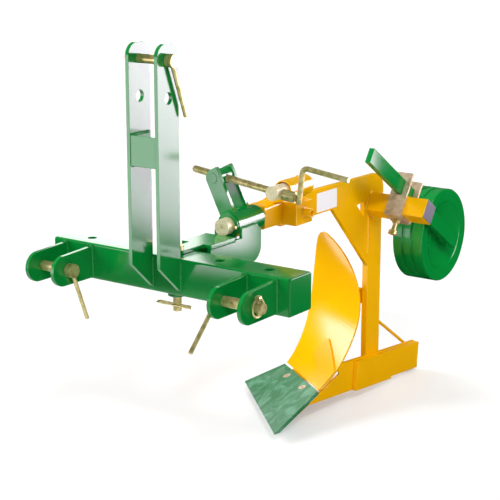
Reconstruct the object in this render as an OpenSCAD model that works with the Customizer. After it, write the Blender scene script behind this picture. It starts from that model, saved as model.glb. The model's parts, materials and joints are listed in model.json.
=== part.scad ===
// Single furrow plough for a small tractor, millimetres.
// The origin is midway between the two lower link pins, on their axis.
// X runs to the tractor's left, Y to the rear and Z up.

/* [Three-point hitch] */
// Diameter of the two lower link pins
lower_pin_d = 22; // [20:0.5:23]
// Diameter of the top link pin
top_pin_d = 19; // [17:0.5:20]
// Height of the top link pin above the lower link pins
mast_height = 459; // [440:1:480]
// Distance between the middles of the two lower lug pairs
lug_pitch = 487; // [470:1:500]
// Clear gap between the two lugs of a pair
lug_gap = 64; // [60:1:68]
// Thickness of one lower lug
lug_t = 9; // [8:0.5:10]
// Height of one lower lug
lug_h = 70; // [66:1:74]
// Reach of the lugs in front of the pin axis
lug_nose = 47; // [44:1:52]
// Clear gap between the two mast plates
mast_gap = 65; // [60:1:68]
// Thickness of one mast plate
mast_t = 9; // [8:0.5:10]
// Width of the mast plates, front to rear
mast_w = 67; // [62:1:72]
// Distance from the lower link pins back to the front of the cross bar
pin_to_bar = 78; // [76:1:84]
// Height of the lower link pins above the underside of the cross bar
pin_rise = 37; // [35:1:40]
// Length of the grip rods on the three hitch pins
grip_len = 125; // [110:1:130]

/* [Cross bar] */
// Length of the cross bar without its end plates
bar_len = 624; // [610:1:640]
// Side of the square cross bar
bar_side = 80; // [78:1:84]
// Wall of the cross bar
bar_wall = 6; // [5:0.5:8]
// Diameter of the spare holes through the cross bar
bar_hole_d = 21; // [18:0.5:24]
// Distance of the inner spare holes from the middle
bar_hole_in = 113; // [105:1:120]
// Distance of the outer spare holes from the middle
bar_hole_out = 238; // [232:1:244]

/* [Swing bracket] */
// Diameter of the upright pivot pin
pivot_d = 18; // [16:0.5:20]
// Thickness of the upper swing plate
upper_plate_t = 8; // [6:0.5:10]
// Thickness of the lower swing plate
lower_plate_t = 12; // [10:0.5:14]
// Thickness of the two side plates under the sleeve
side_plate_t = 8; // [6:0.5:10]
// Height of the beam shaft above the lower link pins
shaft_rise = 68; // [66:1:72]
// Diameter of the beam shaft
shaft_d = 38; // [35:0.5:40]
// Outer diameter of the sleeve that the shaft turns in
sleeve_d = 60; // [58:1:64]
// Length of the sleeve
sleeve_len = 98; // [94:1:104]

/* [Tilt screw] */
// Diameter of the adjusting screw
screw_d = 16; // [14:0.5:17]
// Diameter of the trunnion pin that the screw passes through
trunnion_d = 32; // [30:0.5:34]
// Clear gap between the two screw ears
ear_gap = 42; // [40:1:46]
// Thickness of one screw ear
ear_t = 10; // [8:0.5:11]
// Radius of the crank
crank_r = 70; // [62:1:80]
// Length of the crank grip
crank_grip = 104; // [80:1:115]

/* [Beam and leg] */
// Thickness of the beam plate
beam_t = 12; // [10:0.5:14]
// Height of the beam plate
beam_h = 66; // [62:1:70]
// Side of the square head tube on the beam shaft
head_side = 54; // [52:1:58]
// Thickness of the leg
leg_t = 16; // [14:0.5:18]
// Width of the leg, front to rear
leg_w = 66; // [60:1:70]

/* [Plough bottom] */
// Length of the share's cutting edge
share_edge = 382; // [370:1:395]
// Thickness of the share
share_t = 10; // [8:0.5:12]
// Angle between the share and the ground
share_rake = 19.5; // [18:0.5:21]
// Radius of the mouldboard's curve
mould_r = 240; // [234:1:244]
// Thickness of the mouldboard
mould_t = 6; // [5:0.5:7]
// Thickness of the wear plate on the mouldboard's shin
shin_t = 5; // [4:0.5:6]
// Height of the landside
landside_h = 80; // [74:1:84]
// Thickness of the landside plate
landside_t = 10; // [8:0.5:12]
// Thickness of the wear bar on the landside
wear_bar_t = 13; // [10:0.5:15]

/* [Depth wheel] */
// Side of the square rear cross bar
rear_bar_side = 50; // [48:1:52]
// Thickness of the wheel arm
arm_t = 15; // [12:0.5:16]
// Width of the wheel arm
arm_w = 38; // [34:1:42]
// Length of the wheel arm
arm_len = 552; // [530:1:560]
// Diameter of the depth wheel
wheel_d = 250; // [240:1:256]
// Width of the depth wheel
wheel_w = 87; // [78:1:88]
// Diameter of the wheel axle
axle_d = 25; // [22:0.5:28]

/* [Hidden] */

$fn = 64;

// Paint and plating
green = "#0a8a3c";
yellow = "#f2a900";
zinc = "#cdbb7a";
dark_steel = "#6f6a5e";

// Fits: running fit on the radius, and the gap between plates that slide on each other
run_fit = 0.05;
slide_gap = 0.5;

// Cross bar position
bar_front = pin_to_bar;
bar_rear = bar_front + bar_side;
bar_mid = bar_front + bar_side / 2;
bar_under = -pin_rise;
bar_top = bar_under + bar_side;
bar_round = 5;
end_plate_t = 3;

// Lugs
lug_x = lug_pitch / 2;
lug_under = bar_under + 4;

// Mast
mast_front = bar_front - mast_w;
mast_pin_y = bar_front - mast_w / 2;
mast_crown = mast_height + mast_w / 2;
spare_hole_d = 25;
spare_hole_z = mast_height - 76;
spacer_z = 243;
spacer_h = 64;

// Swing bracket
nose_r = 20;
swing_half_w = 40;
swing_wide_y = bar_rear + 28;
side_plate_x = 30;
sleeve_y = bar_rear + 146;
swing_rear = sleeve_y - 18;
sleeve_end = sleeve_y + sleeve_len;
side_plate_end = sleeve_end - 26;
upper_plate_z = bar_top + slide_gap;
lower_plate_z = bar_under - slide_gap - lower_plate_t;
side_plate_z = lower_plate_z + lower_plate_t;

// Beam shaft
shaft_nose = sleeve_y - 27;
washer_t = 3.5;
washer_d = 56;
head_y = sleeve_end + washer_t + 0.5;
head_len = 72;
beam_y = head_y + head_len;

// Tilt screw: both pivots, seen along Y, and the line of the screw through them
ear_y = sleeve_y + 9;
screw_y = ear_y + ear_t + ear_gap / 2;
nut_x = -50;
nut_z = shaft_rise + 99;
trunnion_x = 101;
trunnion_z = shaft_rise + 80;
screw_tilt = atan2(nut_z - trunnion_z, trunnion_x - nut_x);
screw_span = norm([trunnion_x - nut_x, nut_z - trunnion_z]);
nut_pin_d = 22;
nut_body_d = 36;
nut_play = 0.8;
trunnion_front = screw_y - 20;
trunnion_tube_y = screw_y + 24;
trunnion_tube_len = 92;
trunnion_tube_d = 45;

// Beam plate and leg
beam_x = 10;
beam_face = beam_x + beam_t;
beam_end = 949;
beam_under = shaft_rise - beam_h / 2;
beam_top = shaft_rise + beam_h / 2;
beam_fall = 8;
leg_y = 876;
leg_foot = -452;

// Landside: the heel is its low rear corner
landside_x = beam_face;
landside_face = landside_x + landside_t;
heel_y = 1114;
heel_z = -485;
landside_pitch = 5.4;
landside_len = 524;
wear_bar_len = 322;

// Share: the point, the heading of the cutting edge and the corners in its own plane
point = [landside_face + 2, 436, -459.5];
share_heading = 43.9;
share_near = [-0.365 * share_edge, 147];
share_far = [-1.026 * share_edge, 116];
share_bolt_x = [-200, -309];
share_bolt_y = [120, 103];

// Mouldboard: where its lower edge starts, and the direction of its straight lines
mould_start = [landside_face, 633.5, -412.5];
mould_heading = 36.9;
mould_dip = 1.6;
mould_rise = 19;

// Depth wheel clamp and arm
rear_bar_y = 893;
rear_bar_z = 15;
rear_bar_len = 163;
rear_bar_wall = 4;
arm_slope = 33.6;
clamp_x = 104;
clamp_w = 48;
clamp_t = 6;
arm_back = 218;
wheel_face = clamp_x - arm_t / 2 - 6;
wheel_mid = wheel_face - wheel_w / 2;
axle_inset = 44;
axle_along = arm_len - arm_back - axle_inset;

// Square with round corners, made of exact pieces
module soft_square(w, h, r) {
    square([w - 2 * r, h], center = true);
    square([w, h - 2 * r], center = true);
    for (sx = [-1, 1], sy = [-1, 1]) {
        translate([sx * (w / 2 - r), sy * (h / 2 - r)]) circle(r);
    }
}

// Cylinder along X that starts at the given point
module rod_x(r, h) {
    rotate([0, 90, 0]) cylinder(r = r, h = h);
}

// Cylinder along Y that starts at the given point
module rod_y(r, h) {
    rotate([-90, 0, 0]) cylinder(r = r, h = h);
}

// Plate that stands in the YZ plane, from an outline drawn as [y, z]
module plate_yz(x, t) {
    translate([x, 0, 0]) rotate([90, 0, 90]) linear_extrude(t) children();
}

// Plate that stands in the XZ plane, from an outline drawn as [x, z]
module plate_xz(y, t) {
    translate([0, y + t, 0]) rotate([90, 0, 0]) linear_extrude(t) children();
}

// Points of a cubic curve, without its first point
function curve(a, b, c, d, n = 8) = [
    for (i = [1 : n])
        let (t = i / n, s = 1 - t)
        s * s * s * a + 3 * s * s * t * b + 3 * s * t * t * c + t * t * t * d
];

// Headstock

module cross_bar() {
    color(green) difference() {
        translate([-bar_len / 2, bar_mid, bar_under + bar_side / 2]) rotate([90, 0, 90])
            linear_extrude(bar_len) difference() {
                soft_square(bar_side, bar_side, bar_round);
                square(bar_side - 2 * bar_wall, center = true);
            }
        for (x = [-bar_hole_out, -bar_hole_in, bar_hole_in, bar_hole_out]) {
            translate([x, bar_mid, bar_under - 1]) cylinder(d = bar_hole_d, h = bar_side + 2);
        }
        translate([0, bar_mid, bar_under - 1])
            cylinder(r = pivot_d / 2 + run_fit, h = bar_side + 2);
    }
}

module bar_end_plates() {
    color(green) for (x = [-bar_len / 2 - end_plate_t, bar_len / 2]) {
        translate([x, bar_mid, bar_under + bar_side / 2]) rotate([90, 0, 90])
            linear_extrude(end_plate_t) soft_square(bar_side - 2, bar_side - 2, bar_round);
    }
}

// Mast plate: straight sides, a round crown and a slanted foot in front of the bar
module mast_outline() {
    difference() {
        union() {
            polygon([
                [mast_front, bar_under + bar_side * 0.9],
                [bar_front, bar_under + 10],
                [bar_front, mast_crown - 17],
                [bar_front - 17, mast_crown],
                [mast_front + 17, mast_crown],
                [mast_front, mast_crown - 17]
            ]);
            translate([mast_front + 17, mast_crown - 17]) circle(17);
            translate([bar_front - 17, mast_crown - 17]) circle(17);
        }
        translate([mast_pin_y, mast_height]) circle(r = top_pin_d / 2 + run_fit);
        translate([mast_pin_y, spare_hole_z]) circle(d = spare_hole_d);
    }
}

module mast_plate(x) {
    color(green) plate_yz(x, mast_t) mast_outline();
}

module mast_spacer() {
    color(green) translate([-mast_gap / 2, mast_front + 1, spacer_z]) difference() {
        cube([mast_gap, mast_w - 4, spacer_h]);
        translate([-1, 6, 6]) cube([mast_gap + 2, mast_w - 16, spacer_h - 12]);
    }
}

lug_round = lug_h / 2 - 2;
module lug_outline() {
    difference() {
        union() {
            translate([lug_round - lug_nose, lug_under + lug_round]) circle(lug_round);
            polygon([
                [lug_round - lug_nose, lug_under],
                [bar_front, lug_under],
                [bar_front, lug_under + lug_h],
                [lug_round - lug_nose, lug_under + 2 * lug_round]
            ]);
        }
        circle(r = lower_pin_d / 2 + run_fit);
    }
}

module lower_lugs(side) {
    color(green) for (s = [-1, 1]) {
        plate_yz(side * lug_x + s * (lug_gap + lug_t) / 2 - lug_t / 2, lug_t) lug_outline();
    }
}

// Hitch pin along X: the grip rod is at the near end, the linch pin hole at the far end
pin_head = 18;
pin_tail = 22;
linch_in = 9;
linch_d = 8;

// Hitch pin whose head lies at x = 0 and whose shank runs towards +X
module hitch_pin(d, span, grip_angle) {
    color(zinc) {
        difference() {
            union() {
                translate([-pin_head, 0, 0]) rod_x(d / 2 + 4, pin_head - 0.5);
                translate([-1, 0, 0]) rod_x(d / 2, span + pin_tail + 1);
            }
            translate([span + linch_in, 0, -d])
                cylinder(r = linch_d / 2 + run_fit, h = 2 * d);
        }
        translate([-pin_head / 2, 0, 0]) rotate([grip_angle, 0, 0]) translate([0, 0, -grip_len])
            cylinder(d = 9, h = grip_len - d / 2);
    }
}

lower_span = lug_gap + 2 * lug_t;
top_span = mast_gap + 2 * mast_t;

// Places a lower pin's own frame: the head is on the inner side of its lug pair
module at_lower_pin(side) {
    translate([side * (lug_x - lower_span / 2), 0, 0]) mirror([side < 0 ? 1 : 0, 0, 0]) children();
}

// Places the top pin's own frame: the head is on the left side of the mast
module at_top_pin() {
    translate([top_span / 2, mast_pin_y, mast_height]) mirror([1, 0, 0]) children();
}

// Linch pin: a shank down through the hitch pin, with a head that holds the ring
ring_r = 19;
ring_wire = 4;
ring_play = 0.9;
linch_head_d = 12;
linch_head_w = 9;
linch_foot = ring_r - ring_wire / 2 - 0.6;
module linch_pin(span) {
    color(zinc) translate([span + linch_in, 0, 0]) difference() {
        union() {
            translate([0, 0, -linch_foot]) cylinder(d = linch_d, h = linch_foot + ring_r - linch_head_d / 3);
            translate([0, -linch_head_w / 2, ring_r]) rod_y(linch_head_d / 2, linch_head_w);
        }
        translate([0, -linch_head_w / 2 - 1, ring_r])
            rod_y(ring_wire / 2 + ring_play, linch_head_w + 2);
    }
}

module linch_ring(span) {
    color(zinc) translate([span + linch_in, 0, 0]) rotate([0, 90, 0])
        rotate_extrude() translate([ring_r, 0]) circle(d = ring_wire);
}

// Pivot pin: a head above the upper swing plate, a tail below the lower one
pivot_tail = 34;
clip_d = 4;
clip_back = 44;
clip_z = lower_plate_z - 20;
module pivot_pin() {
    color(zinc) translate([0, bar_mid, 0]) difference() {
        union() {
            translate([0, 0, lower_plate_z - pivot_tail])
                cylinder(d = pivot_d, h = upper_plate_z + upper_plate_t - lower_plate_z + pivot_tail + 1);
            translate([0, 0, upper_plate_z + upper_plate_t + 0.2])
                cylinder(d = pivot_d + 12, h = 9);
        }
        translate([-pivot_d, 0, clip_z]) rod_x(clip_d / 2 + run_fit, 2 * pivot_d);
    }
}

// Spring clip: a straight leg through the pin, a coil end and a second leg beside the pin
module pivot_clip() {
    apart = pivot_d / 2 + clip_d / 2 + 0.4;
    color(zinc) {
        translate([-clip_back, bar_mid, clip_z]) rod_x(clip_d / 2, 2 * clip_back - 8);
        translate([-clip_back, bar_mid - apart / 2, clip_z]) rotate([0, 0, 90])
            rotate_extrude(angle = 180) translate([apart / 2, 0]) circle(d = clip_d);
        translate([-clip_back, bar_mid - apart, clip_z]) rod_x(clip_d / 2, 2 * clip_back);
    }
}

// Swing bracket

module swing_outline(rear) {
    difference() {
        union() {
            translate([0, bar_mid]) circle(nose_r);
            translate([-nose_r, bar_mid]) square([2 * nose_r, swing_wide_y - bar_mid + 1]);
            translate([-swing_half_w, swing_wide_y])
                square([2 * swing_half_w, rear - swing_wide_y]);
        }
        translate([0, bar_mid]) circle(r = pivot_d / 2 + run_fit);
    }
}

module swing_upper_plate() {
    color(green) translate([0, 0, upper_plate_z]) linear_extrude(upper_plate_t)
        swing_outline(shaft_nose - 3);
}

module swing_lower_plate() {
    color(green) translate([0, 0, lower_plate_z]) linear_extrude(lower_plate_t)
        swing_outline(swing_rear);
}

// Side plate: deep behind the bar, then a step up to a round rear end beside the sleeve
side_step = 18;
saddle_r = 36;
module side_plate_outline() {
    saddle_y = side_plate_end - saddle_r;
    saddle_z = shaft_rise - 3;
    step_z = side_plate_z + side_step;
    polygon([
        [swing_wide_y, side_plate_z],
        [swing_rear, side_plate_z],
        [swing_rear, step_z],
        [saddle_y, step_z],
        [saddle_y, step_z + saddle_r],
        [side_plate_end, step_z + saddle_r],
        [side_plate_end, saddle_z - 14],
        [side_plate_end - 14, saddle_z],
        [sleeve_y - 2, saddle_z],
        [sleeve_y - 2, upper_plate_z],
        [swing_wide_y, upper_plate_z]
    ]);
    translate([saddle_y, step_z + saddle_r]) circle(saddle_r);
}

module swing_side_plates() {
    color(green) difference() {
        for (x = [-side_plate_x - side_plate_t, side_plate_x]) {
            plate_yz(x, side_plate_t) side_plate_outline();
        }
        translate([0, 0, shaft_rise]) rod_y(sleeve_d / 2, 2000);
    }
}

module shaft_sleeve() {
    color(green) translate([0, sleeve_y, shaft_rise]) difference() {
        rod_y(sleeve_d / 2, sleeve_len);
        translate([0, -1, 0]) rod_y(shaft_d / 2 + run_fit, sleeve_len + 2);
    }
}

// Screw ear: it leans to the right as it rises from the sleeve to the nut's pivot
ear_w = 40;
ear_lean = atan2(-nut_x, nut_z - shaft_rise);
ear_len = norm([nut_x, nut_z - shaft_rise]);
module ear_outline() {
    difference() {
        translate([0, shaft_rise]) rotate([0, 0, ear_lean]) union() {
            translate([-ear_w / 2, 0]) square([ear_w, ear_len]);
            translate([0, ear_len]) circle(d = ear_w);
            translate([0, ear_len]) square([ear_w / 2 - 4, ear_w / 2]);
            translate([0, ear_len]) square([ear_w / 2, ear_w / 2 - 4]);
            translate([ear_w / 2 - 4, ear_len + ear_w / 2 - 4]) circle(4);
        }
        translate([0, shaft_rise]) circle(d = sleeve_d);
        translate([nut_x, nut_z]) circle(r = nut_pin_d / 2 + run_fit);
    }
}

module screw_ears() {
    color(green) for (y = [ear_y, ear_y + ear_t + ear_gap]) {
        plate_xz(y, ear_t) ear_outline();
    }
}

// Beam shaft and head

module beam_shaft() {
    color(zinc) difference() {
        translate([0, shaft_nose, shaft_rise]) rod_y(shaft_d / 2, beam_y - 6 - shaft_nose);
        translate([0, shaft_nose - 1, shaft_rise]) rod_y(2.5, 6);
        translate([-shaft_d, cross_pin_y, shaft_rise]) rod_x(cross_pin_d / 2, 2 * shaft_d);
    }
}

cross_pin_d = 8;
cross_pin_y = sleeve_y - washer_t - 7;
module shaft_cross_pin() {
    color(zinc) translate([-28, cross_pin_y, shaft_rise]) rod_x(cross_pin_d / 2, 56);
}

module shaft_washers() {
    color(dark_steel) for (y = [sleeve_y - washer_t - 0.25, sleeve_end + 0.25]) {
        translate([0, y, shaft_rise]) difference() {
            rod_y(washer_d / 2, washer_t);
            translate([0, -1, 0]) rod_y(shaft_d / 2 + run_fit, washer_t + 2);
        }
    }
}

module beam_head_tube() {
    color(yellow) difference() {
        translate([0, head_y + head_len, shaft_rise]) rotate([90, 0, 0])
            linear_extrude(head_len) soft_square(head_side, head_side, 8);
        translate([0, head_y - 1, shaft_rise]) rod_y(shaft_d / 2, head_len - 5);
    }
}

module trunnion_tube() {
    color(yellow) translate([trunnion_x, trunnion_tube_y, trunnion_z]) difference() {
        rod_y(trunnion_tube_d / 2, trunnion_tube_len);
        translate([0, -1, 0]) rod_y(trunnion_d / 2 + run_fit, trunnion_tube_len + 2);
        translate([0, -1, 0]) rod_y(trunnion_tube_d / 2 - 3, 13);
    }
}

// Arm that carries the trunnion tube on the head tube
arm_plate_t = 12;
module trunnion_arm() {
    arm_y = trunnion_tube_y + trunnion_tube_len - arm_plate_t;
    top = shaft_rise + head_side / 2;
    color(yellow) difference() {
        plate_xz(arm_y, arm_plate_t) polygon([
            [-head_side / 2 + 10, top],
            [head_side / 2 - 8, top],
            [trunnion_x + 4, trunnion_z - trunnion_tube_d / 2 - 2],
            [trunnion_x + 4, trunnion_z],
            [trunnion_x - 18, trunnion_z + 14]
        ]);
        translate([trunnion_x, 0, trunnion_z]) rod_y(trunnion_tube_d / 2, 2000);
        translate([-head_side, 0, 0]) cube([3 * head_side, 2000, top]);
    }
}

// Socket for a knife coulter: a bent strap on the side of the beam
socket_len = 68;
socket_out = 64;
strap_t = 8;
module coulter_socket() {
    color(yellow) translate([0, beam_y, shaft_rise - head_side / 2]) difference() {
        translate([beam_face, 0, 0]) cube([socket_out - beam_face, socket_len, head_side]);
        translate([beam_face - 1, strap_t, -1])
            cube([socket_out - beam_face - strap_t + 1, socket_len - 2 * strap_t, head_side + 2]);
        translate([socket_out - strap_t - 1, socket_len / 2, head_side / 2]) rod_x(6.5, strap_t + 2);
    }
}

module socket_boss() {
    color(yellow) translate([socket_out, beam_y + socket_len / 2, shaft_rise]) difference() {
        rod_x(10.5, 22);
        translate([-1, 0, 0]) rod_x(6.5, 24);
    }
}

// Beam plate: a straight neck, a round rear corner and a slanted web down to the leg
module beam_outline() {
    corner_r = 46;
    rear_top = beam_top - beam_fall;
    difference() {
        union() {
            polygon([
                [beam_y, beam_under],
                [beam_y + 226, beam_under],
                [leg_y, beam_under - 178],
                [leg_y, beam_under],
                [beam_end, beam_under],
                [beam_end, rear_top - corner_r],
                [beam_end - corner_r, rear_top],
                [beam_y, beam_top]
            ]);
            intersection() {
                translate([beam_end - corner_r, rear_top - corner_r]) circle(corner_r);
                translate([beam_end - corner_r, rear_top - corner_r]) square(corner_r);
            }
        }
        polygon([[818, beam_under - 10], [852, beam_under - 6], [852, beam_under - 44]]);
    }
}

module beam_plate() {
    color(yellow) plate_yz(beam_x, beam_t) beam_outline();
}

module leg() {
    color(yellow) translate([beam_face - leg_t, leg_y, leg_foot])
        cube([leg_t, leg_w, beam_under - leg_foot]);
}

// Plough bottom

// Landside frame: the heel is the origin and +Y runs along the landside to the rear
module at_landside() {
    translate([0, heel_y, heel_z]) rotate([-landside_pitch, 0, 0]) children();
}

module landside_plate() {
    color(yellow) difference() {
        at_landside() translate([landside_x, -landside_len, 0])
            cube([landside_t, landside_len, landside_h]);
        in_front_of_mouldboard();
        at_share() translate([-800, -100, -share_t - 0.4]) cube([1600, 320, 400]);
    }
}

module landside_wear_bar() {
    relief = 6;
    color(yellow) at_landside() translate([landside_face, -wear_bar_len, 0]) difference() {
        cube([wear_bar_t, wear_bar_len, landside_h - 2]);
        translate([-1, wear_bar_len - 142, -1]) cube([wear_bar_t + 2, 143, relief + 1]);
    }
}

// Share frame: the point is the origin, -X runs along the cutting edge and +Y up the slope
module at_share() {
    translate(point) rotate([0, 0, -share_heading]) rotate([share_rake, 0, 0]) children();
}

share_bevel = 14;
share_edge_t = 3;
module share() {
    color(green) at_share() difference() {
        translate([0, 0, -share_t]) linear_extrude(share_t)
            polygon([[0, 0], share_near, share_far, [-share_edge, 0]]);
        // Bevel under the cutting edge
        plate_yz(-2 * share_edge, 3 * share_edge) polygon([
            [-10, -share_edge_t],
            [0, -share_edge_t],
            [share_bevel, -share_t],
            [share_bevel, -share_t - 10],
            [-10, -share_t - 10]
        ]);
        share_bolt_holes(share_t + 2);
    }
}

module share_bolt_holes(depth) {
    for (i = [0, 1]) {
        translate([share_bolt_x[i], share_bolt_y[i], -depth]) cylinder(d = 12, h = depth + 1);
        translate([share_bolt_x[i], share_bolt_y[i], -5]) cylinder(d = 21, h = 6);
    }
}

frog_t = 10;
module share_bolts() {
    color(zinc) at_share() for (i = [0, 1]) translate([share_bolt_x[i], share_bolt_y[i], 0]) {
        difference() {
            translate([0, 0, -5]) cylinder(d = 21, h = 5);
            translate([0, 0, -2]) cylinder(d = 7, h = 3);
        }
        translate([0, 0, -share_t - frog_t - 16]) cylinder(d = 12, h = share_t + frog_t + 12);
        translate([0, 0, -share_t - frog_t - 10]) difference() {
            cylinder(d = 22, h = 10, $fn = 6);
            translate([0, 0, -1]) cylinder(d = 12, h = 12);
        }
    }
}

// Frog: the plate under the share and the mouldboard's lower edge
frog_start = 80;
frog_w = 62;
module frog_plate() {
    color(yellow) intersection() {
        at_share() difference() {
            translate([-0.94 * share_edge, frog_start, -share_t - frog_t])
                cube([1.05 * share_edge, frog_w, frog_t]);
            share_bolt_holes(share_t + frog_t + 2);
        }
        translate([-500, 0, -600]) cube([500 + landside_x, 1200, 600]);
    }
}

// Mouldboard frame: the lower edge's near end is the origin, and the plate's straight lines
// run along X in it
module at_mouldboard() {
    translate(mould_start) rotate([0, 0, -mould_heading]) rotate([0, -mould_dip, 0])
        translate([0, -mould_r * sin(mould_rise), mould_r * cos(mould_rise)]) children();
}

module mould_cylinder(r) {
    at_mouldboard() rotate([0, 90, 0]) cylinder(r = r, h = 1600, center = true, $fn = 128);
}

module in_front_of_mouldboard() {
    mould_cylinder(mould_r + mould_t + 0.4);
}

// Outline seen from the front, as [x, z]: the shin rises at the left, the top edge and the
// wing curve over to the right, and the lower edge follows the share
shin_top = [landside_face, -288];
mould_crest = [-150, -95];
mould_wing = [-251, -236];
mould_corner = [-170, -418];
mould_edge = concat(
    [[landside_face, mould_start[2] + 0.6], shin_top],
    curve(shin_top, [landside_face, -197], [-58, -110], mould_crest),
    curve(mould_crest, [-205, mould_crest[1]], [-251, -150], mould_wing),
    curve(mould_wing, [-251, -278], [-215, -357], mould_corner)
);

module mouldboard() {
    color(yellow) intersection() {
        difference() {
            mould_cylinder(mould_r + mould_t);
            mould_cylinder(mould_r);
            at_mouldboard() translate([-800, -800, -800]) cube([1600, 800, 1600]);
        }
        plate_xz(400, 900) polygon(mould_edge);
    }
}

// Wear plate on the shin: it follows the mouldboard's curve and ends flush with the landside
shin_gap = 0.1;
shin_outer = [-95, -380.7];
shin_upper = [-78.5, -339.7];
shin_lower_z = mould_start[2] + 3.5;
module mouldboard_shin() {
    color(yellow) intersection() {
        difference() {
            mould_cylinder(mould_r - shin_gap);
            mould_cylinder(mould_r - shin_gap - shin_t);
            at_mouldboard() translate([-800, -800, -800]) cube([1600, 800, 1600]);
        }
        plate_xz(mould_start[1] - 100, 300) polygon([
            shin_outer,
            shin_upper,
            [landside_face, mould_start[2] + 32.5],
            [landside_face, shin_lower_z],
            [landside_face - 5, shin_lower_z]
        ]);
    }
}

// Stay between the leg and the back of the mouldboard
module mouldboard_stay() {
    color(yellow) difference() {
        translate([beam_face - leg_t - 170, leg_y + 8, -250]) cube([170, 10, 40]);
        mould_cylinder(mould_r + mould_t);
    }
}

// Round brace from the rear of the leg down to the rear of the landside
brace_d = 8;
module brace_rod() {
    foot = [beam_face - brace_d / 2, heel_y - 6, -421];
    head = [beam_face - brace_d / 2, leg_y + leg_w, -308];
    run = foot - head;
    color(yellow) difference() {
        translate(head - 0.06 * run) rotate([atan2(run[2], run[1]), 0, 0])
            rod_y(brace_d / 2, 1.06 * norm(run));
        translate([0, leg_y, -500]) cube([100, leg_w, 500]);
    }
}

// Depth wheel

// Frame of the rear cross bar: +Y runs down along the wheel arm, +Z away from the bar
module at_rear_bar() {
    translate([0, rear_bar_y, rear_bar_z]) rotate([-arm_slope, 0, 0]) children();
}

module rear_cross_bar() {
    color(yellow) at_rear_bar() translate([beam_face, 0, 0]) rotate([90, 0, 90])
        linear_extrude(rear_bar_len) difference() {
            soft_square(rear_bar_side, rear_bar_side, 3);
            square(rear_bar_side - 2 * rear_bar_wall, center = true);
        }
}

// Plug that closes the outer end of the rear cross bar
module rear_bar_plug() {
    color(dark_steel) at_rear_bar() translate([beam_face + rear_bar_len - 10, 0, 0])
        rotate([90, 0, 90]) {
            linear_extrude(10) square(rear_bar_side - 2 * rear_bar_wall - 0.2, center = true);
            translate([0, 0, 10]) linear_extrude(2) soft_square(rear_bar_side - 3, rear_bar_side - 3, 2);
        }
}

// Clamp: a U-shaped strap under the bar, whose two legs are slotted for the arm
strap_gap = 0.3;
strap_in = rear_bar_side / 2 + strap_gap;
strap_top = rear_bar_side / 2 + arm_w + 22;
arm_low = rear_bar_side / 2 + 1;
module clamp_bracket() {
    color(zinc) at_rear_bar() translate([clamp_x - clamp_w / 2, 0, 0]) difference() {
        translate([0, -strap_in - clamp_t, -strap_in - clamp_t])
            cube([clamp_w, 2 * (strap_in + clamp_t), strap_top + strap_in + clamp_t]);
        translate([-1, -strap_in, -strap_in]) cube([clamp_w + 2, 2 * strap_in, 300]);
        translate([clamp_w / 2 - arm_t / 2 - 0.5, -100, arm_low - 0.5])
            cube([arm_t + 1, 200, arm_w + 1]);
        translate([clamp_w / 2, 0, -strap_in - clamp_t - 1]) cylinder(r = clamp_bolt_d / 2 + run_fit, h = clamp_t + 2);
    }
}

clamp_bolt_d = 12;
module clamp_bolt() {
    color(zinc) at_rear_bar() translate([clamp_x, 0, -strap_in]) {
        translate([0, 0, -clamp_t - 32]) cylinder(d = clamp_bolt_d, h = clamp_t + 32);
        translate([0, 0, -clamp_t - 40]) cylinder(d = 22, h = 9);
        translate([0, 0, -clamp_t - 10.2]) difference() {
            cylinder(d = 21, h = 10, $fn = 6);
            translate([0, 0, -1]) cylinder(d = clamp_bolt_d, h = 12);
        }
    }
}

arm_corner = 5;
module arm_outline() {
    square([arm_len - arm_corner, arm_w]);
    translate([0, arm_corner]) square([arm_len, arm_w - 2 * arm_corner]);
    for (z = [arm_corner, arm_w - arm_corner]) {
        translate([arm_len - arm_corner, z]) circle(arm_corner);
    }
}

module wheel_arm() {
    color(green) at_rear_bar() translate([clamp_x - arm_t / 2, -arm_back, arm_low])
        difference() {
            plate_yz(0, arm_t) arm_outline();
            translate([-1, arm_back + axle_along, arm_w / 2]) rod_x(axle_d / 2, arm_t + 2);
        }
}

// Frame of the wheel: the origin is on the axle at the arm's middle, X along the axle
module at_wheel() {
    at_rear_bar() translate([clamp_x, axle_along, arm_low + arm_w / 2]) children();
}

axle_len = arm_t + 6 + wheel_w + 22;
module wheel_axle() {
    color(zinc) difference() {
        at_wheel() translate([arm_t / 2 - axle_len, 0, 0]) rod_x(axle_d / 2, axle_len);
        at_wheel() translate([split_x, 0, -axle_d]) cylinder(r = 2.5 + run_fit, h = 2 * axle_d);
    }
}

// Rim: a band with turned-in beads and two shallow grooves
module rim_profile() {
    r = wheel_d / 2;
    w = wheel_w;
    polygon([
        [r - 18, 0], [r - 2, 0], [r, 3], [r, w * 0.3], [r - 3, w * 0.33], [r - 3, w * 0.38],
        [r, w * 0.41], [r, w * 0.59], [r - 3, w * 0.62], [r - 3, w * 0.67], [r, w * 0.7],
        [r, w - 3], [r - 2, w], [r - 18, w], [r - 18, w - 4], [r - 5, w - 4], [r - 7, w / 2],
        [r - 5, 4], [r - 18, 4]
    ]);
}

module wheel_rim() {
    color(green) at_wheel() translate([-arm_t / 2 - 6, 0, 0]) rotate([0, -90, 0])
        rotate_extrude($fn = 96) rim_profile();
}

// Dished discs between the hub and the rim's turned-in edges
hub_d = 46;
disc_t = 4;
module wheel_disc() {
    r = wheel_d / 2 - 18;
    rotate_extrude($fn = 96) polygon([
        [hub_d / 2, 14], [hub_d / 2 + 24, 14], [r - 14, 4], [r, 4],
        [r, 4 - 4], [r - 14.4, 0], [hub_d / 2 + 23.6, 10], [hub_d / 2, 10]
    ]);
}

module wheel_discs() {
    color(green) at_wheel() {
        translate([-arm_t / 2 - 6, 0, 0]) rotate([0, -90, 0]) wheel_disc();
        translate([-arm_t / 2 - 6 - wheel_w, 0, 0]) rotate([0, 90, 0]) wheel_disc();
    }
}

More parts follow.
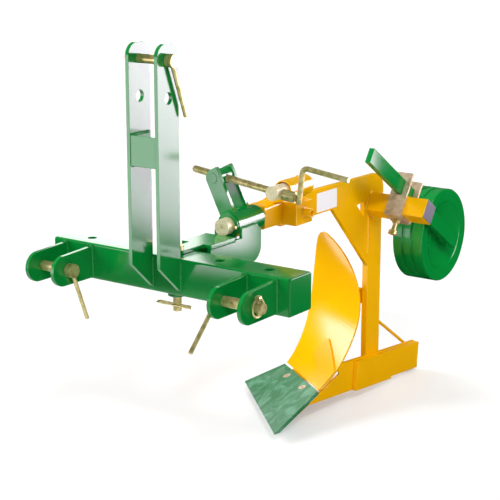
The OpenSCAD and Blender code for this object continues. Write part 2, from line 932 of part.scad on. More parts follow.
module wheel_hub() {
    color(green) at_wheel() translate([-arm_t / 2 - 3, 0, 0]) rotate([0, -90, 0]) difference() {
        cylinder(d = hub_d, h = wheel_w + 6);
        translate([0, 0, -1]) cylinder(r = axle_d / 2 + run_fit, h = wheel_w + 8);
    }
}

washer_x = -arm_t / 2 - 3 - wheel_w - 6 - 4.5;
module wheel_washer() {
    color(zinc) at_wheel() translate([washer_x, 0, 0]) difference() {
        rod_x(21, 4);
        translate([-1, 0, 0]) rod_x(axle_d / 2 + run_fit, 6);
    }
}

split_x = washer_x - 5;
module wheel_split_pin() {
    color(zinc) at_wheel() translate([split_x, 0, -axle_d / 2 - 8]) {
        cylinder(d = 5, h = axle_d + 14);
        translate([0, 0, axle_d + 14]) sphere(d = 9);
    }
}

// Tilt screw group

// Frame of the screw: the trunnion's middle is the origin and +X runs along it to the crank
module at_screw() {
    translate([trunnion_x, screw_y, trunnion_z]) rotate([0, screw_tilt, 0]) children();
}

module trunnion_pin() {
    color(zinc) difference() {
        translate([trunnion_x, trunnion_front, trunnion_z])
            rod_y(trunnion_d / 2, trunnion_tube_y + trunnion_tube_len + 4 - trunnion_front);
        at_screw() translate([-60, 0, 0]) rod_x(screw_d / 2 + run_fit, 120);
    }
}

module trunnion_nut() {
    body = ear_gap - 2;
    color(zinc) difference() {
        union() {
            translate([nut_x, screw_y - body / 2, nut_z]) rod_y(nut_body_d / 2, body);
            translate([nut_x, ear_y - 0.5, nut_z]) rod_y(nut_pin_d / 2, 2 * ear_t + ear_gap + 1);
        }
        at_screw() translate([-screw_span - 40, 0, 0]) rod_x(screw_d / 2 + nut_play, 80);
    }
}

collar_len = 37;
collar_start = trunnion_d / 2 + 1;
collar_pin_at = 13;
collar_pin_d = 5;
screw_tail = 78;
module adjusting_screw() {
    color(zinc) difference() {
        at_screw() translate([-screw_span - screw_tail, 0, 0])
            rod_x(screw_d / 2, screw_span + screw_tail + collar_start + collar_len);
        at_screw() translate([collar_start + collar_pin_at, -screw_d, 0])
            rod_y(collar_pin_d / 2, 2 * screw_d);
    }
}

module crank_collar() {
    color(zinc) at_screw() translate([collar_start, 0, 0]) {
        difference() {
            rod_x(screw_d / 2 + 4, collar_len - 4);
            translate([-1, 0, 0]) rod_x(screw_d / 2, collar_len + 2);
            translate([collar_pin_at, -screw_d, 0]) rod_y(collar_pin_d / 2, 2 * screw_d);
        }
        translate([collar_pin_at, -screw_d / 2 - 4.5, 0]) rod_y(collar_pin_d / 2, screw_d + 9);
    }
}

// Crank: one bent rod, an arm square to the screw and a grip along it
crank_d = 12;
crank_bend = 12;
crank_foot = 4;
module crank_handle() {
    x0 = collar_start + collar_len + crank_d / 2;
    color(zinc) at_screw() translate([x0, 0, 0]) {
        translate([0, 0, -screw_d / 2 - crank_foot])
            cylinder(d = crank_d, h = crank_r - crank_bend + screw_d / 2 + crank_foot);
        translate([crank_bend, 0, crank_r - crank_bend]) rotate([90, 0, 0]) rotate([0, 0, 90])
            rotate_extrude(angle = 90) translate([crank_bend, 0]) circle(d = crank_d);
        translate([crank_bend, 0, crank_r]) rod_x(crank_d / 2, crank_grip);
    }
}

cross_bar();
bar_end_plates();
mast_plate(mast_gap / 2);  // mast_plate_left
mast_plate(-mast_gap / 2 - mast_t);  // mast_plate_right
mast_spacer();
lower_lugs(1);  // lower_lugs_left
lower_lugs(-1);  // lower_lugs_right
at_top_pin() hitch_pin(top_pin_d, top_span, 21);  // top_link_pin
at_lower_pin(1) hitch_pin(lower_pin_d, lower_span, -45);  // lower_pin_left
at_lower_pin(-1) hitch_pin(lower_pin_d, lower_span, 21);  // lower_pin_right
at_top_pin() linch_pin(top_span);  // top_linch_pin
at_lower_pin(1) linch_pin(lower_span);  // linch_pin_left
at_lower_pin(-1) linch_pin(lower_span);  // linch_pin_right
at_top_pin() linch_ring(top_span);  // top_linch_ring
at_lower_pin(1) linch_ring(lower_span);  // linch_ring_left
at_lower_pin(-1) linch_ring(lower_span);  // linch_ring_right
pivot_pin();
pivot_clip();
swing_upper_plate();
swing_lower_plate();
swing_side_plates();
shaft_sleeve();
screw_ears();
beam_shaft();
shaft_cross_pin();
shaft_washers();
beam_head_tube();
trunnion_tube();
trunnion_arm();
coulter_socket();
socket_boss();
beam_plate();
leg();
landside_plate();
landside_wear_bar();
frog_plate();
share();
share_bolts();
mouldboard();
mouldboard_shin();
mouldboard_stay();
brace_rod();
rear_cross_bar();
rear_bar_plug();
trunnion_pin();
trunnion_nut();
adjusting_screw();
crank_collar();
crank_handle();
clamp_bracket();
clamp_bolt();
wheel_arm();
wheel_axle();
wheel_rim();
wheel_discs();
wheel_hub();
wheel_washer();
wheel_split_pin();
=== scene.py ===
# %% [markdown]
# # Single furrow plough
# A small tractor carries this plough on its three-point hitch. The frame that it is built on holds
# every steel piece at its real size, so this lesson gives each piece the finish of the real one:
# rounded edges that catch the light, weld beads, a cut thread, gloss paint and yellow zinc.

# %% Load the frame
import json
import math

import bmesh
import bpy
from mathutils import Matrix, Vector


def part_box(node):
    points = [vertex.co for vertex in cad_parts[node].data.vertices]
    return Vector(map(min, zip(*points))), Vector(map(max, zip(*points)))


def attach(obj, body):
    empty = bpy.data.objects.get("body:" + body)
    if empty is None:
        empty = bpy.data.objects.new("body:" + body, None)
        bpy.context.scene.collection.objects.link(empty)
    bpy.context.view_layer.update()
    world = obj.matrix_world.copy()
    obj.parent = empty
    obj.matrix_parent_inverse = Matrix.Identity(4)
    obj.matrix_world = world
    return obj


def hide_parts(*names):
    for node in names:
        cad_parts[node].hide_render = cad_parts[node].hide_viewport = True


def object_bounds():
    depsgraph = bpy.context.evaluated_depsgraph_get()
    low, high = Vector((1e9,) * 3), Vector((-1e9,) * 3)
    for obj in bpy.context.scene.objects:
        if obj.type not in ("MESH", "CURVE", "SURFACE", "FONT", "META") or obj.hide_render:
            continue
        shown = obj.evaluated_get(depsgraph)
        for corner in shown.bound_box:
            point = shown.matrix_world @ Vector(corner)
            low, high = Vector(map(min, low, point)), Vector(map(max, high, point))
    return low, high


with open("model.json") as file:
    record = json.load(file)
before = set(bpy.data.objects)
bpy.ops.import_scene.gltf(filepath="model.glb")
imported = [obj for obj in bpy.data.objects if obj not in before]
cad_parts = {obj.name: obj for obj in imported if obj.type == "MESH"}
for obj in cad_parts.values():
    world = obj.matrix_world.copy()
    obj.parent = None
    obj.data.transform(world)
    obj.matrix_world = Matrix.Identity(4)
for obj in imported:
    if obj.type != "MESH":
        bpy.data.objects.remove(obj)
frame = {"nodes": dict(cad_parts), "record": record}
cad_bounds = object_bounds()
nodes = frame["nodes"]
MM = 0.001
print("frame nodes:", len(nodes))

# %% [markdown]
# ## Camera
# The hitch stands square in the frame, so its straight edges give away where the photographer
# stood: about 35 degrees to the plough's left and 14 degrees above it, nearly 3 m away with a long
# lens. A long lens keeps the bar and the mast almost parallel.

# %% Camera
CAMERA_PLACE = (1.8048, -2.1559, 0.7750)
CAMERA_HEADING = 35.38
CAMERA_DROP = 14.05
FILM_WIDTH = 36
LENS = 101.61
SIGHT = 60

camera_data = bpy.data.cameras.new("camera")
camera_data.sensor_width = FILM_WIDTH
camera_data.lens = LENS
camera_data.clip_end = SIGHT
camera = bpy.data.objects.new("camera", camera_data)
camera.location = CAMERA_PLACE
camera.rotation_euler = (math.radians(90 - CAMERA_DROP), 0, math.radians(CAMERA_HEADING))
bpy.context.scene.collection.objects.link(camera)
bpy.context.scene.camera = camera
bpy.context.scene.view_settings.view_transform = "Standard"
print("camera at", CAMERA_PLACE, "with a lens of", LENS, "mm")

# %% [markdown]
# ## Node helper and colours
# Every material here is a few nodes. One function adds a node with its settings and links, and one
# turns a colour as a painter writes it, in sRGB hex, into the linear numbers that Blender uses.

# %% Helpers for materials
def linear(code, alpha=1.0):
    """Linear colour of an sRGB hex code."""
    parts = [int(code[i:i + 2], 16) / 255 for i in (1, 3, 5)]
    turned = [c / 12.92 if c <= 0.04045 else ((c + 0.055) / 1.055) ** 2.4 for c in parts]
    return (*turned, alpha)


def add_node(tree, kind, links=(), **settings):
    """A node of this kind. Settings that name a socket set it, the others set the node itself."""
    node = tree.nodes.new(kind)
    for key, value in settings.items():
        if key in node.inputs:
            node.inputs[key].default_value = value
        else:
            setattr(node, key, value)
    for source, target in links:
        tree.links.new(source, node.inputs[target])
    return node


def new_material(name):
    """An empty material and its node tree."""
    material = bpy.data.materials.new(name)
    material.use_nodes = True
    material.node_tree.nodes.clear()
    return material, material.node_tree


print("white is", linear("#ffffff"))

# %% [markdown]
# ## Gloss paint
# The frame is sprayed with a thick gloss enamel. Enamel mirrors the studio most at a glancing
# angle, which the shader works out from its index of refraction. The spray leaves a faint orange
# peel a few millimetres across, and the film is a little duller in places. The wear plate on the
# mouldboard's shin is duller than the rest, so it gets the same paint with less shine.

# %% Gloss enamel
ORANGE_PEEL = 4.0 * MM
PEEL_DEPTH = 0.4 * MM
CLOUDING = 120 * MM
DULLER = 0.08
ENAMEL_IOR = 1.52


def gloss_enamel(name, code, shade_code, peel=0.055, gloss=0.10, shine=0.5):
    """Sprayed enamel: a colour that wanders slightly towards its shade, under a smooth skin.
    Peel is the strength of the orange peel, gloss the roughness and shine the mirror's strength."""
    material, tree = new_material(name)
    place = add_node(tree, "ShaderNodeTexCoord")
    clouds = add_node(tree, "ShaderNodeTexNoise", [(place.outputs["Object"], "Vector")],
                      Scale=1 / CLOUDING, Detail=3.0, Roughness=0.55)
    colour = add_node(tree, "ShaderNodeMix", [(clouds.outputs["Fac"], 0)], data_type="RGBA")
    colour.inputs[6].default_value = linear(code)
    colour.inputs[7].default_value = linear(shade_code)
    rough = add_node(tree, "ShaderNodeMapRange", [(clouds.outputs["Fac"], "Value")])
    rough.inputs["To Min"].default_value = gloss
    rough.inputs["To Max"].default_value = gloss + DULLER
    skin = add_node(tree, "ShaderNodeTexNoise", [(place.outputs["Object"], "Vector")],
                    Scale=1 / ORANGE_PEEL, Detail=1.0)
    relief = add_node(tree, "ShaderNodeBump", [(skin.outputs["Fac"], "Height")],
                      Strength=peel, Distance=PEEL_DEPTH)
    shader = add_node(tree, "ShaderNodeBsdfPrincipled",
                      [(colour.outputs[2], "Base Color"), (rough.outputs["Result"], "Roughness"),
                       (relief.outputs["Normal"], "Normal")])
    shader.inputs["IOR"].default_value = ENAMEL_IOR
    shader.inputs["Specular IOR Level"].default_value = shine
    add_node(tree, "ShaderNodeOutputMaterial", [(shader.outputs["BSDF"], "Surface")])
    return material


GREEN_ENAMEL = gloss_enamel("green_enamel", "#058c38", "#048033")
YELLOW_ENAMEL = gloss_enamel("yellow_enamel", "#fabb00", "#f2b000")
SHIN_ENAMEL = gloss_enamel("dull_yellow_enamel", "#eeb010", "#e2a30c", gloss=0.22, shine=0.15)
print("enamels:", GREEN_ENAMEL.name, YELLOW_ENAMEL.name, SHIN_ENAMEL.name)

# %% [markdown]
# ## Painted share
# The share is flat steel that was handled more than the rest: its green is duller, with long
# scuffs along the plate. The scuffs are a noise that is stretched along the share.

# %% Scuffed enamel
SCUFF = 38 * MM
SCUFF_TURN = 20
SCUFF_STRETCH = (1.0, 0.35, 1.0)


def scuffed_enamel(name, code, scuff_code):
    """Dull green paint with lighter scuffs that run along the plate."""
    material, tree = new_material(name)
    place = add_node(tree, "ShaderNodeTexCoord")
    turned = add_node(tree, "ShaderNodeMapping", [(place.outputs["Object"], "Vector")])
    turned.inputs["Rotation"].default_value = (0, 0, math.radians(SCUFF_TURN))
    turned.inputs["Scale"].default_value = SCUFF_STRETCH
    streaks = add_node(tree, "ShaderNodeTexNoise", [(turned.outputs["Vector"], "Vector")],
                       Scale=1 / SCUFF, Detail=6.0, Roughness=0.62, Distortion=1.6)
    band = add_node(tree, "ShaderNodeMapRange", [(streaks.outputs["Fac"], "Value")])
    band.inputs["From Min"].default_value = 0.46
    band.inputs["From Max"].default_value = 0.80
    colour = add_node(tree, "ShaderNodeMix", [(band.outputs["Result"], 0)], data_type="RGBA")
    colour.inputs[6].default_value = linear(code)
    colour.inputs[7].default_value = linear(scuff_code)
    shader = add_node(tree, "ShaderNodeBsdfPrincipled", [(colour.outputs[2], "Base Color")])
    shader.inputs["Roughness"].default_value = 0.38
    shader.inputs["Coat Weight"].default_value = 0.4
    shader.inputs["Coat Roughness"].default_value = 0.25
    add_node(tree, "ShaderNodeOutputMaterial", [(shader.outputs["BSDF"], "Surface")])
    return material


SHARE_ENAMEL = scuffed_enamel("share_enamel", "#23713f", "#74ad8e")
print("share paint:", SHARE_ENAMEL.name)

# %% [markdown]
# ## Yellow zinc
# Pins, screw, crank and clamp are zinc plated and yellow passivated. The passivation is a thin
# film that shimmers from straw to olive and rose, so its colour is a ramp over a soft noise. The
# clamp bracket and the plough bolts are rosier. The trunnion pin and the beam's shaft, whose round
# ends are sawn, are less metallic, and their pale cream is partly painted reflection: the bright
# gleam that those ends mirror.

# %% Yellow passivated zinc
STRAW = [(0.30, "#978d50"), (0.45, "#bdb273"), (0.58, "#d6cc90"), (0.72, "#bfa87c")]
ROSY = [(0.30, "#b09a78"), (0.45, "#cdb696"), (0.58, "#dfc9ac"), (0.72, "#c9a894")]
# Pale stops: partly the sawn steel's own colour, partly a painted reflection of a bright gleam
SAWN_CREAM_AND_GLEAM = [(0.30, "#d6c597"), (0.45, "#e6d9ad"), (0.58, "#efe6c8"), (0.72, "#dfc6ae")]
PLATING_GRAIN = 1.2 * MM


def yellow_zinc(name, patch=14 * MM, rough=0.33, stops=STRAW, metal=0.65):
    """Plated steel whose film wanders between the colours of its stops, in patches this wide."""
    material, tree = new_material(name)
    place = add_node(tree, "ShaderNodeTexCoord")
    film = add_node(tree, "ShaderNodeTexNoise", [(place.outputs["Object"], "Vector")],
                    Scale=1 / patch, Detail=4.0, Roughness=0.6)
    ramp = add_node(tree, "ShaderNodeValToRGB", [(film.outputs["Fac"], "Fac")])
    ramp.color_ramp.elements[0].position = stops[0][0]
    ramp.color_ramp.elements[0].color = linear(stops[0][1])
    ramp.color_ramp.elements[1].position = stops[-1][0]
    ramp.color_ramp.elements[1].color = linear(stops[-1][1])
    for position, code in stops[1:-1]:
        ramp.color_ramp.elements.new(position).color = linear(code)
    grain = add_node(tree, "ShaderNodeTexNoise", [(place.outputs["Object"], "Vector")],
                     Scale=1 / PLATING_GRAIN, Detail=2.0)
    relief = add_node(tree, "ShaderNodeBump", [(grain.outputs["Fac"], "Height")],
                      Strength=0.03, Distance=0.1 * MM)
    shader = add_node(tree, "ShaderNodeBsdfPrincipled",
                      [(ramp.outputs["Color"], "Base Color"), (relief.outputs["Normal"], "Normal")])
    shader.inputs["Metallic"].default_value = metal
    shader.inputs["Roughness"].default_value = rough
    add_node(tree, "ShaderNodeOutputMaterial", [(shader.outputs["BSDF"], "Surface")])
    return material


ZINC = yellow_zinc("yellow_passivated_zinc")
# Paler and less metallic: partly sawn ends, partly a painted reflection baked into the colour
ZINC_SAWN_AND_GLEAM = yellow_zinc("sawn_zinc_painted_gleam", patch=9 * MM, rough=0.55, stops=SAWN_CREAM_AND_GLEAM, metal=0.25)
ZINC_DULL = yellow_zinc("dull_passivated_zinc", patch=22 * MM, rough=0.36, stops=ROSY, metal=0.5)
print("zinc finishes:", ZINC.name, ZINC_SAWN_AND_GLEAM.name, ZINC_DULL.name)

# %% [markdown]
# ## Grey plug
# The rear bar is closed with a grey moulded plug. A moulding takes the fine grain of its mould, so
# one noise gives both its tone and its relief.

# %% Moulded plastic
MOULD_GRAIN = 2 * MM
GRAIN_SHADE = 0.75


def moulded_plastic(name, code, rough):
    """One colour with a fine grain."""
    material, tree = new_material(name)
    place = add_node(tree, "ShaderNodeTexCoord")
    noise = add_node(tree, "ShaderNodeTexNoise", [(place.outputs["Object"], "Vector")],
                     Scale=1 / MOULD_GRAIN, Detail=3.0)
    tone = add_node(tree, "ShaderNodeMix", [(noise.outputs["Fac"], 0)], data_type="RGBA")
    tone.inputs[6].default_value = linear(code)
    tone.inputs[7].default_value = [c * GRAIN_SHADE for c in linear(code)[:3]] + [1.0]
    relief = add_node(tree, "ShaderNodeBump", [(noise.outputs["Fac"], "Height")],
                      Strength=0.1, Distance=0.1 * MM)
    shader = add_node(tree, "ShaderNodeBsdfPrincipled",
                      [(tone.outputs[2], "Base Color"), (relief.outputs["Normal"], "Normal")])
    shader.inputs["Roughness"].default_value = rough
    add_node(tree, "ShaderNodeOutputMaterial", [(shader.outputs["BSDF"], "Surface")])
    return material


GREY_PLASTIC = moulded_plastic("grey_moulded_plastic", "#66656f", rough=0.45)
print("plug:", GREY_PLASTIC.name)

# %% [markdown]
# ## Slots, bodies and new pieces
# The frame's record says which finish and which moving body each node belongs to. A new piece takes
# both from there, so that it moves with its body and can be repainted with its slot.

# %% Slots and bodies
FINISH = {
    "green_paint": GREEN_ENAMEL,
    "yellow_paint": YELLOW_ENAMEL,
    "zinc_plate": ZINC,
    "grey_plug": GREY_PLASTIC,
}
# The photograph shows these under green paint
PAINTED_OVER = ("trunnion_nut", "shaft_washers", "wheel_axle")
SLOT_OF = {row["node"]: row["material_slot"] for row in frame["record"]["subparts"]}
SLOT_OF.update(dict.fromkeys(PAINTED_OVER, "green_paint"))
BODY_OF = {
    node: body for body, members in frame["record"]["behaviour"]["bodies"].items() for node in members
}
print("slots in use:", sorted(set(SLOT_OF.values())))


# %% New pieces
def set_material(piece, material):
    """The piece wears this one material."""
    piece.data.materials.clear()
    piece.data.materials.append(material)
    piece.data.update()


def new_object(name, bm):
    """An object at the origin that takes over a bmesh."""
    mesh = bpy.data.meshes.new(name)
    bm.to_mesh(mesh)
    bm.free()
    made = bpy.data.objects.new(name, mesh)
    bpy.context.scene.collection.objects.link(made)
    return made


def new_piece(name, bm, material, body):
    """A piece from a bmesh, riding on a body."""
    piece = new_object(name, bm)
    set_material(piece, material)
    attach(piece, body)
    return piece


print("bodies:", sorted(set(BODY_OF.values())))

# %% [markdown]
# ## Rounded edges
# Sawn and sprayed steel never has a knife edge: the paint rounds it, and the round edge draws a
# thin bright line. Each piece is a merged copy of its node, with its flat faces joined up, and a
# bevel modifier rounds what is sharper than 35 degrees.

# %% Dressing a node
SHARP = 35
LEAST_BEVEL_ANGLE = 20
BEVEL_SEGMENTS = 2


def smooth(piece, angle=SHARP):
    """Smooth shading, with edges over the angle kept sharp."""
    piece.data.shade_smooth()
    piece.data.set_sharp_from_angle(angle=math.radians(angle))


def dress(node, edge, material, angle, trim):
    """A rounded copy of a node takes its place. Trim is a cut to make in the copy first."""
    bm = bmesh.new()
    bm.from_mesh(nodes[node].data)
    bmesh.ops.remove_doubles(bm, verts=bm.verts, dist=0.002 * MM)
    bmesh.ops.dissolve_limit(bm, angle_limit=math.radians(0.2), verts=bm.verts, edges=bm.edges)
    if trim:
        trim(bm)
    finish = material or FINISH[SLOT_OF[node]]
    piece = new_piece(node + "_piece", bm, finish, BODY_OF[node])
    smooth(piece, angle)
    bevel = piece.modifiers.new("round_edges", "BEVEL")
    bevel.width = edge
    bevel.segments = BEVEL_SEGMENTS
    bevel.limit_method = "ANGLE"
    bevel.angle_limit = math.radians(max(angle, LEAST_BEVEL_ANGLE))
    bevel.harden_normals = True
    bevel.use_clamp_overlap = True
    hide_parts(node)


print("edges over", SHARP, "degrees are rounded in", BEVEL_SEGMENTS, "steps")

# %% [markdown]
# ## Mast crowns
# The two mast plates are cut with a torch, and their crowns are rounder than the frame's corners.
# A few cuts with planes that touch the larger radius take the corners off the copies.

# %% Trim of the mast plates
CROWN_Z = 492.5
CROWN_R = 27.0
CROWN_CUTS = range(8, 90, 9)


def round_crown(bm):
    """The crown of a mast plate, cut with planes that touch a larger corner radius."""
    low, high = min(v.co.y for v in bm.verts), max(v.co.y for v in bm.verts)
    for centre_y, way in ((low + CROWN_R * MM, -1), (high - CROWN_R * MM, 1)):
        for turn in CROWN_CUTS:
            out = Vector((0, way * math.cos(math.radians(turn)), math.sin(math.radians(turn))))
            place = Vector((0, centre_y, (CROWN_Z - CROWN_R) * MM)) + out * CROWN_R * MM
            bmesh.ops.bisect_plane(bm, geom=bm.verts[:] + bm.edges[:] + bm.faces[:], dist=1e-7,
                                   plane_co=place, plane_no=out, clear_outer=True)
            rim = [edge for edge in bm.edges if edge.is_boundary]
            bmesh.ops.holes_fill(bm, edges=rim, sides=0)


TRIM = {"mast_plate_left": round_crown, "mast_plate_right": round_crown}
print("cuts at each corner:", len(CROWN_CUTS))

# %% [markdown]
# ## All nodes
# Most edges are rounded by a millimetre. Sawn and pressed pieces have other edges, and thin wire
# keeps its own mesh. The wheel's discs and the adjusting screw are drawn further down.

# %% Dress every node
PLAIN_EDGE = 1.0
EDGE = {
    "bar_end_plates": 2.0, "share": 1.8, "mouldboard": 1.2,
    "top_linch_ring": 0, "linch_ring_left": 0, "linch_ring_right": 0, "pivot_clip": 0,
    "top_linch_pin": 0.5, "linch_pin_left": 0.5, "linch_pin_right": 0.5,
    "wheel_rim": 0.8, "wheel_split_pin": 0.3, "rear_bar_plug": 1.2,
    "shaft_washers": 0.4, "crank_collar": 0.8, "wheel_washer": 0.5, "share_bolts": 0.4,
    "clamp_bolt": 0.8, "mouldboard_shin": 1.8, "wheel_arm": 1.5,
    "mast_plate_left": 1.2, "mast_plate_right": 1.2,
}
# The trunnion pin and the beam's shaft take the pale zinc, whose cream is partly painted reflection
SPECIAL = {"share": SHARE_ENAMEL, "clamp_bracket": ZINC_DULL, "share_bolts": ZINC_DULL,
           "mouldboard_shin": SHIN_ENAMEL, "trunnion_pin": ZINC_SAWN_AND_GLEAM, "beam_shaft": ZINC_SAWN_AND_GLEAM}
TURNED = {"wheel_rim": 8, "wheel_hub": 12}
DRAWN_BELOW = ("wheel_discs", "adjusting_screw")
to_dress = [node for node in nodes if node not in DRAWN_BELOW]
for node in to_dress:
    width = EDGE.get(node, PLAIN_EDGE) * MM
    if width > 0:
        dress(node, width, SPECIAL.get(node), TURNED.get(node, SHARP), TRIM.get(node))
    else:
        set_material(nodes[node], FINISH[SLOT_OF[node]])
print("dressed nodes:", len(to_dress))

# %% [markdown]
# ## Dished wheel discs
# The wheel is closed by two pressed discs. A pressing has one soft curve from the rim to the hub,
# so its profile is drawn as a few points and spun round the axle, which leaves no facets to catch
# the light.

# %% Wheel discs
rim_low, rim_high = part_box("wheel_rim")
WHEEL = tuple((a + b) / 2 / MM for a, b in zip(rim_low, rim_high))
WHEEL_HALF = (rim_high[0] - rim_low[0]) / 2 / MM
# Radius, and depth below the rim's side, in millimetres
DISC_SKIN = [(107, 0), (94, 0), (92, 0.7), (90.5, 2.4), (84, 4.2), (72, 6.9), (60, 9.0),
             (52, 9.9), (46, 10), (23.5, 10)]
DISC_T = 4.0
DISC_STEPS = 96
print("wheel middle:", [round(c, 1) for c in WHEEL], "half width:", round(WHEEL_HALF, 1))

bm = bmesh.new()
for side in (-1, 1):
    points = DISC_SKIN + [(r, depth + DISC_T) for r, depth in reversed(DISC_SKIN)]
    ring = [bm.verts.new((WHEEL[0] + side * (WHEEL_HALF - depth), WHEEL[1], WHEEL[2] + r))
            for r, depth in points]
    profile = [bm.edges.new((ring[i - 1], ring[i])) for i in range(len(ring))]
    bmesh.ops.spin(bm, geom=ring + profile, cent=WHEEL, axis=(1, 0, 0), use_merge=True,
                   angle=math.radians(360), steps=DISC_STEPS)
bmesh.ops.remove_doubles(bm, verts=bm.verts, dist=0.01)
bmesh.ops.recalc_face_normals(bm, faces=bm.faces)
bmesh.ops.scale(bm, verts=bm.verts, vec=(MM, MM, MM))
discs = new_piece("wheel_discs_pressed", bm, GREEN_ENAMEL, "wheel")
smooth(discs, 30)
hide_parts("wheel_discs")
print("disc faces:", len(discs.data.polygons))

# %% [markdown]
# ## Cut thread
# The adjusting screw has a rolled trapezoid thread. One pitch of its profile is drawn as a few
# vertices and spun round the axis while it climbs, so that each turn meets the last one. The crest
# fades out at both ends, as a rolled thread does, and a plain shank goes on to the crank.

# %% Thread of the adjusting screw
# In millimetres along the screw, from the place where it crosses its trunnion pin
PITCH = 4.0
ROOT_R = 7.1
CREST_R = 8.0
THREAD_FROM = -230.0
THREAD_TO = -18.0
SCREW_END = 54.0
SHANK_OVERLAP = 4.0
SHANK_R = 7.9
SCREW_ORIGIN = (0.101, 0.344, 0.148)
SCREW_LEAN = 7.17
TURNS = int((THREAD_TO - THREAD_FROM) / PITCH) - 1
TURN_STEPS = 20
FADE_OUT = 1.5 * PITCH


def spun_thread(bm):
    """One pitch of the profile, spun along the x axis, with its crest fading out at the ends."""
    profile = [(0.0, ROOT_R), (1.0, ROOT_R), (1.9, CREST_R), (3.0, CREST_R), (PITCH, ROOT_R)]
    line = [bm.verts.new((THREAD_FROM + x, r, 0)) for x, r in profile]
    rib = [bm.edges.new(pair) for pair in zip(line, line[1:])]
    bmesh.ops.spin(bm, geom=line + rib, cent=(0, 0, 0), axis=(1, 0, 0),
                   dvec=(PITCH / TURN_STEPS, 0, 0), angle=math.radians(360 * TURNS),
                   steps=TURN_STEPS * TURNS)
    bmesh.ops.remove_doubles(bm, verts=bm.verts, dist=0.02)
    for vert in bm.verts:
        inside = min(vert.co.x - THREAD_FROM, THREAD_TO - vert.co.x) / FADE_OUT
        limit = ROOT_R + (CREST_R - ROOT_R) * max(0.0, min(1.0, inside))
        radius = math.hypot(vert.co.y, vert.co.z)
        if radius > limit:
            vert.co.y *= limit / radius
            vert.co.z *= limit / radius
    open_edges = [edge for edge in bm.edges if edge.is_boundary]
    bmesh.ops.holes_fill(bm, edges=open_edges, sides=0)


bm = bmesh.new()
spun_thread(bm)
shank_from = THREAD_TO - SHANK_OVERLAP
shank = bmesh.ops.create_cone(bm, cap_ends=True, segments=40, radius1=SHANK_R, radius2=SHANK_R,
                              depth=SCREW_END - shank_from)
bmesh.ops.rotate(bm, verts=shank["verts"], matrix=Matrix.Rotation(math.radians(90), 3, "Y"))
bmesh.ops.translate(bm, verts=shank["verts"], vec=((SCREW_END + shank_from) / 2, 0, 0))
bmesh.ops.recalc_face_normals(bm, faces=bm.faces)
leaning = Matrix.Rotation(math.radians(SCREW_LEAN), 4, "Y")
screw_place = Matrix.Translation(SCREW_ORIGIN) @ leaning @ Matrix.Scale(MM, 4)
bmesh.ops.transform(bm, verts=bm.verts, matrix=screw_place)
thread = new_piece("adjusting_screw_thread", bm, ZINC, "screw")
smooth(thread)
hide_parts("adjusting_screw")
print("thread turns:", TURNS)

# %% [markdown]
# ## Weld beads
# Every plate is held by a hand-laid bead. Its scales are puddles that froze one after the other,
# so a bead is a row of small spheres that overlap, laid along the corner that it fills.

# %% Weld beads
BEAD_R = 3.4
BEAD_STEP = 2.7


def straight(start, end):
    """Evenly spaced places on a line, in millimetres."""
    a, b = Vector(start), Vector(end)
    count = max(2, round((b - a).length / BEAD_STEP))
    return [a.lerp(b, i / count) for i in range(count + 1)]


def around(centre, radius, start, end, axis):
    """Evenly spaced places on an arc about the x or the y axis."""
    count = max(2, round(math.radians(abs(end - start)) * radius / BEAD_STEP))
    places = []
    for i in range(count + 1):
        turn = math.radians(start + (end - start) * i / count)
        across, up = radius * math.cos(turn), radius * math.sin(turn)
        step = Vector((across, 0, up)) if axis == "y" else Vector((0, across, up))
        places.append(Vector(centre) + step)
    return places


def weld(name, runs, material, body):
    """One piece that holds all the beads of a body."""
    bm = bmesh.new()
    for run in runs:
        bead = bmesh.new()
        for i, place in enumerate(run):
            size = BEAD_R * (1.0 + 0.10 * math.sin(2.1 * i) + 0.06 * math.sin(5.3 * i))
            bmesh.ops.create_uvsphere(bead, u_segments=8, v_segments=5, radius=size * MM,
                                      matrix=Matrix.Translation(place * MM))
        laid = bpy.data.meshes.new("bead")
        bead.to_mesh(laid)
        bead.free()
        bm.from_mesh(laid)
        bpy.data.meshes.remove(laid)
    piece = new_piece(name, bm, material, body)
    smooth(piece, 80)
    print(name, "scales:", sum(len(run) for run in runs))


# %% Welds of the headstock
# Places are in millimetres in the frame
LUG_PLATES = (202.5, 275.5)
PLATE_T = 9
MAST_FACES = (32.5, 41.5)
SPACER_EDGES = (243, 307)
BAR_CORNER_Y = 77.5

HEAD_RUNS = []
for side in (-1, 1):
    for x in LUG_PLATES:
        for face in (x, x + PLATE_T):
            HEAD_RUNS.append(straight((side * face, BAR_CORNER_Y, -31), (side * face, BAR_CORNER_Y, 36)))
    for x in LUG_PLATES:
        HEAD_RUNS.append(straight((side * x, 76.5, 38), (side * (x + PLATE_T), 76.5, 38)))
    for x in MAST_FACES:
        HEAD_RUNS.append(straight((side * x, BAR_CORNER_Y, -24), (side * x, BAR_CORNER_Y, 37)))
    for z in SPACER_EDGES:
        HEAD_RUNS.append(straight((side * MAST_FACES[0], 17, z), (side * MAST_FACES[0], 71, z)))
weld("headstock_welds", HEAD_RUNS, GREEN_ENAMEL, "headstock")

# %% Welds of the swing bracket
EAR_FACES = (313, 323, 365, 375)
SIDE_PLATE_X = 38
UPPER_SEAM_Z = 43.5
LOWER_SEAM_Z = -37.5

SWING_RUNS = [around((0, y, 68), 30, 78, 156, "y") for y in EAR_FACES]
for side in (-1, 1):
    SWING_RUNS.append(straight((side * 32, 304, 64), (side * 32, 360, 64)))
    for z, rear in ((UPPER_SEAM_Z, 272), (LOWER_SEAM_Z, 284)):
        SWING_RUNS.append(straight((side * SIDE_PLATE_X, 188, z), (side * SIDE_PLATE_X, rear, z)))
weld("swing_welds", SWING_RUNS, GREEN_ENAMEL, "swing")


